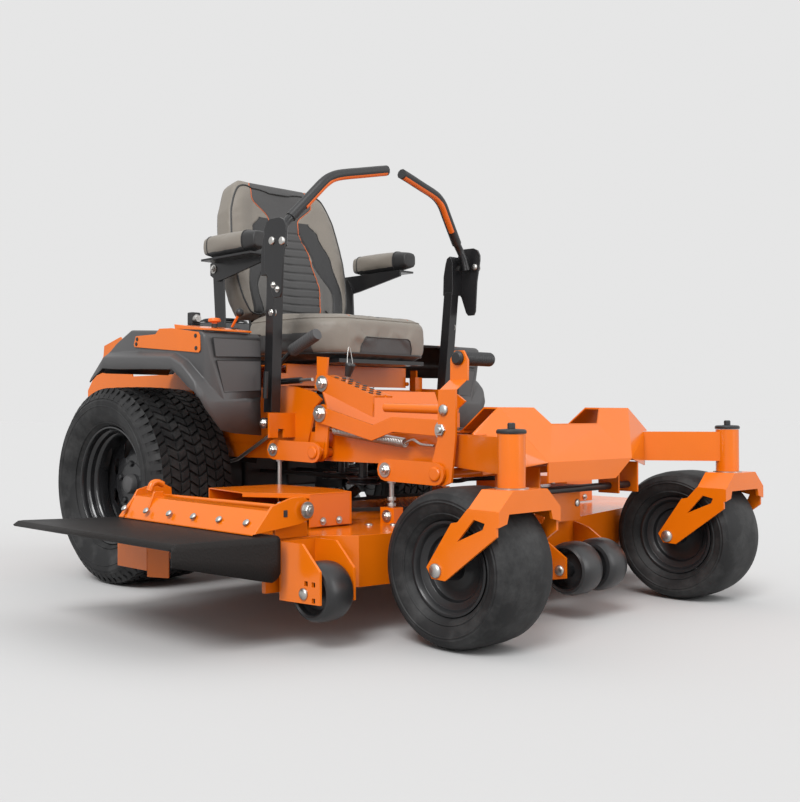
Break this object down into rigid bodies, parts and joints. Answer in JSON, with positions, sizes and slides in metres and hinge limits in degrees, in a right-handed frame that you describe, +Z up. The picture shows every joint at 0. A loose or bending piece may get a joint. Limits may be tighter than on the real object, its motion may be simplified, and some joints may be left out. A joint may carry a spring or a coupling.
{
  "type": "zero turn mower",
  "caption": "Ride-on zero turn mower with a mid-mounted side-discharge deck, lap-bar steering levers, swivelling front casters and a high-back seat.",
  "frame": {"origin": "bottom centre of the bounding box, on the ground", "axes": "+Z up, -Y is the direction the mower drives forwards, -X is the side the grass leaves"},
  "size_m": [1.778, 1.932, 1.2177],
  "materials": {
    "orange_coat": "gloss powder coat",
    "dark_plastic": "satin moulded plastic",
    "black_coat": "satin black powder coat",
    "tread_rubber": "matt rubber",
    "wheel_paint": "satin black paint",
    "seat_vinyl": "grained vinyl",
    "black_plastic": "moulded plastic",
    "blade_steel": "ground steel",
    "cast_metal": "cast alloy",
    "deflector_rubber": "textured rubber",
    "belt_rubber": "wrapped belt",
    "roller_plastic": "hard plastic"
  },
  "bodies": {
    "chassis": {"main_frame": "orange_coat", "nose_panel": "orange_coat", "floor_pan": "orange_coat", "engine_guard": "orange_coat", "fender_left": "dark_plastic", "fender_right": "dark_plastic", "control_panel": "orange_coat", "engine_block": "cast_metal", "engine_shroud": "black_plastic", "transaxle_left": "black_coat", "transaxle_right": "black_coat", "height_selector": "orange_coat"},
    "caster_fork_left": {"caster_fork_left": "orange_coat"},
    "caster_wheel_left": {"caster_rim_left": "wheel_paint", "caster_tyre_left": "tread_rubber"},
    "drive_wheel_left": {"drive_rim_left": "wheel_paint", "drive_tyre_left": "tread_rubber"},
    "caster_fork_right": {"caster_fork_right": "orange_coat"},
    "caster_wheel_right": {"caster_rim_right": "wheel_paint", "caster_tyre_right": "tread_rubber"},
    "drive_wheel_right": {"drive_rim_right": "wheel_paint", "drive_tyre_right": "tread_rubber"},
    "seat_frame": {"seat_pan": "orange_coat"},
    "seat": {"seat_base": "black_coat", "seat_cushion": "seat_vinyl", "seat_back": "seat_vinyl"},
    "armrest_left": {"armrest_bracket_left": "black_coat", "armrest_pad_left": "seat_vinyl"},
    "armrest_right": {"armrest_bracket_right": "black_coat", "armrest_pad_right": "seat_vinyl"},
    "lever_hub_left": {"lever_hub_left": "black_coat"},
    "lever_left": {"lever_bar_left": "black_coat", "lever_grip_left": "black_plastic"},
    "lever_hub_right": {"lever_hub_right": "black_coat"},
    "lever_right": {"lever_bar_right": "black_coat", "lever_grip_right": "black_plastic"},
    "deck": {"deck_shell": "orange_coat", "roller_yoke": "orange_coat", "roller_bracket_left": "orange_coat", "roller_bracket_right": "orange_coat", "belt_cover_left": "orange_coat", "belt_cover_right": "orange_coat", "deck_belt": "belt_rubber"},
    "front_crank": {"front_crank": "orange_coat"},
    "rear_crank": {"rear_crank": "orange_coat"},
    "link_bar": {"link_bar": "orange_coat"},
    "lift_rod": {"lift_rod": "orange_coat"},
    "chute": {"chute_hinge_plate": "orange_coat", "chute_deflector": "deflector_rubber"},
    "blade_center": {"blade_center": "blade_steel"},
    "blade_right": {"blade_right": "blade_steel"},
    "blade_left": {"blade_left": "blade_steel"},
    "side_roller_left": {"side_roller_left": "roller_plastic"},
    "side_roller_right": {"side_roller_right": "roller_plastic"},
    "front_roller": {"front_roller": "roller_plastic"},
    "height_pin": {"height_pin": "black_plastic"},
    "park_brake": {"park_brake_lever": "black_plastic"},
    "throttle": {"throttle_lever": "black_plastic"},
    "pto": {"pto_knob": "black_plastic"},
    "fuel_cap": {"fuel_cap": "black_plastic"}
  },
  "joints": [
    {"name": "caster_swivel_left", "type": "hinge", "parent": "chassis", "child": "caster_fork_left", "pos_m": [0.573, -0.913, 0.385], "axis": [0, 0, 1], "continuous": true},
    {"name": "caster_spin_left", "type": "hinge", "parent": "caster_fork_left", "child": "caster_wheel_left", "pos_m": [0.573, -0.801, 0.165], "axis": [1, 0, 0], "continuous": true},
    {"name": "drive_spin_left", "type": "hinge", "parent": "chassis", "child": "drive_wheel_left", "pos_m": [0.579, 0.401, 0.279], "axis": [1, 0, 0], "continuous": true},
    {"name": "caster_swivel_right", "type": "hinge", "parent": "chassis", "child": "caster_fork_right", "pos_m": [-0.319, -0.913, 0.385], "axis": [0, 0, 1], "continuous": true},
    {"name": "caster_spin_right", "type": "hinge", "parent": "caster_fork_right", "child": "caster_wheel_right", "pos_m": [-0.319, -0.801, 0.165], "axis": [1, 0, 0], "continuous": true},
    {"name": "drive_spin_right", "type": "hinge", "parent": "chassis", "child": "drive_wheel_right", "pos_m": [-0.325, 0.401, 0.279], "axis": [1, 0, 0], "continuous": true},
    {"name": "seat_tilt", "type": "hinge", "parent": "chassis", "child": "seat_frame", "pos_m": [0.127, 0.01, 0.57], "axis": [1, 0, 0], "range_deg": [0, 20]},
    {"name": "seat_slide", "type": "slide", "parent": "seat_frame", "child": "seat", "axis": [0, 1, 0], "range_m": [-0.05, 0.05]},
    {"name": "armrest_flip_left", "type": "hinge", "parent": "seat", "child": "armrest_left", "pos_m": [0.397, 0.295, 0.905], "axis": [-1, 0, 0], "range_deg": [0, 85]},
    {"name": "armrest_flip_right", "type": "hinge", "parent": "seat", "child": "armrest_right", "pos_m": [-0.143, 0.295, 0.905], "axis": [-1, 0, 0], "range_deg": [0, 85]},
    {"name": "lever_drive_left", "type": "hinge", "parent": "chassis", "child": "lever_hub_left", "pos_m": [0.461, -0.051, 0.455], "axis": [1, 0, 0], "range_deg": [-10, 10]},
    {"name": "lever_swing_left", "type": "hinge", "parent": "lever_hub_left", "child": "lever_left", "pos_m": [0.47, -0.051, 0.484], "axis": [0, 1, 0], "range_deg": [0, 22]},
    {"name": "lever_drive_right", "type": "hinge", "parent": "chassis", "child": "lever_hub_right", "pos_m": [-0.207, -0.051, 0.455], "axis": [1, 0, 0], "range_deg": [-10, 10]},
    {"name": "lever_swing_right", "type": "hinge", "parent": "lever_hub_right", "child": "lever_right", "pos_m": [-0.216, -0.051, 0.484], "axis": [0, -1, 0], "range_deg": [0, 22]},
    {"name": "deck_lift", "type": "slide", "parent": "chassis", "child": "deck", "axis": [0, 0, 1], "range_m": [-0.045, 0.025]},
    {"name": "front_crank_turn", "type": "hinge", "parent": "chassis", "child": "front_crank", "pos_m": [0.127, -0.624, 0.343], "axis": [1, 0, 0], "range_deg": [-17, 9.6]},
    {"name": "rear_crank_turn", "type": "hinge", "parent": "chassis", "child": "rear_crank", "pos_m": [0.127, -0.215, 0.381], "axis": [1, 0, 0], "range_deg": [-17, 9.6]},
    {"name": "link_bar_turn", "type": "hinge", "parent": "front_crank", "child": "link_bar", "pos_m": [-0.198, -0.632, 0.442], "axis": [1, 0, 0], "range_deg": [-9.6, 17]},
    {"name": "lift_rod_turn", "type": "hinge", "parent": "front_crank", "child": "lift_rod", "pos_m": [-0.182, -0.633, 0.488], "axis": [1, 0, 0], "range_deg": [-9.6, 17]},
    {"name": "chute_flip", "type": "hinge", "parent": "deck", "child": "chute", "pos_m": [-0.558, -0.239, 0.28], "axis": [0, 1, 0], "range_deg": [0, 75]},
    {"name": "blade_spin_center", "type": "hinge", "parent": "deck", "child": "blade_center", "pos_m": [0.127, -0.419, 0.128], "axis": [0, 0, 1], "continuous": true},
    {"name": "blade_spin_right", "type": "hinge", "parent": "deck", "child": "blade_right", "pos_m": [-0.363, -0.209, 0.128], "axis": [0, 0, 1], "continuous": true},
    {"name": "blade_spin_left", "type": "hinge", "parent": "deck", "child": "blade_left", "pos_m": [0.617, -0.209, 0.128], "axis": [0, 0, 1], "continuous": true},
    {"name": "side_roller_left_spin", "type": "hinge", "parent": "deck", "child": "side_roller_left", "pos_m": [0.817, -0.623, 0.119], "axis": [1, 0, 0], "continuous": true},
    {"name": "side_roller_right_spin", "type": "hinge", "parent": "deck", "child": "side_roller_right", "pos_m": [-0.563, -0.623, 0.119], "axis": [1, 0, 0], "continuous": true},
    {"name": "front_roller_spin", "type": "hinge", "parent": "deck", "child": "front_roller", "pos_m": [0.127, -0.789, 0.121], "axis": [1, 0, 0], "continuous": true},
    {"name": "height_pin_pull", "type": "slide", "parent": "chassis", "child": "height_pin", "axis": [0, -0.3146, 0.9492], "range_m": [0, 0.03]},
    {"name": "park_brake_pull", "type": "hinge", "parent": "chassis", "child": "park_brake", "pos_m": [-0.146, 0.015, 0.603], "axis": [-1, 0, 0], "range_deg": [0, 40]},
    {"name": "throttle_tilt", "type": "hinge", "parent": "chassis", "child": "throttle", "pos_m": [-0.288, 0.029, 0.711], "axis": [1, 0, 0], "range_deg": [-25, 20]},
    {"name": "pto_pull", "type": "slide", "parent": "chassis", "child": "pto", "axis": [0, 0, 1], "range_m": [0, 0.012]},
    {"name": "fuel_cap_turn", "type": "hinge", "parent": "chassis", "child": "fuel_cap", "pos_m": [0.567, 0.201, 0.72], "axis": [0, 0, 1], "range_deg": [0, 120]}
  ],
  "couplings": [
    {"joint": "front_crank_turn", "follows": "deck_lift", "rad_per_m": 6.45},
    {"joint": "rear_crank_turn", "follows": "deck_lift", "rad_per_m": 6.45},
    {"joint": "link_bar_turn", "follows": "deck_lift", "rad_per_m": -6.45},
    {"joint": "lift_rod_turn", "follows": "deck_lift", "rad_per_m": -6.45},
    {"joint": "blade_spin_right", "follows": "blade_spin_center", "ratio": 1},
    {"joint": "blade_spin_left", "follows": "blade_spin_center", "ratio": 1}
  ]
}
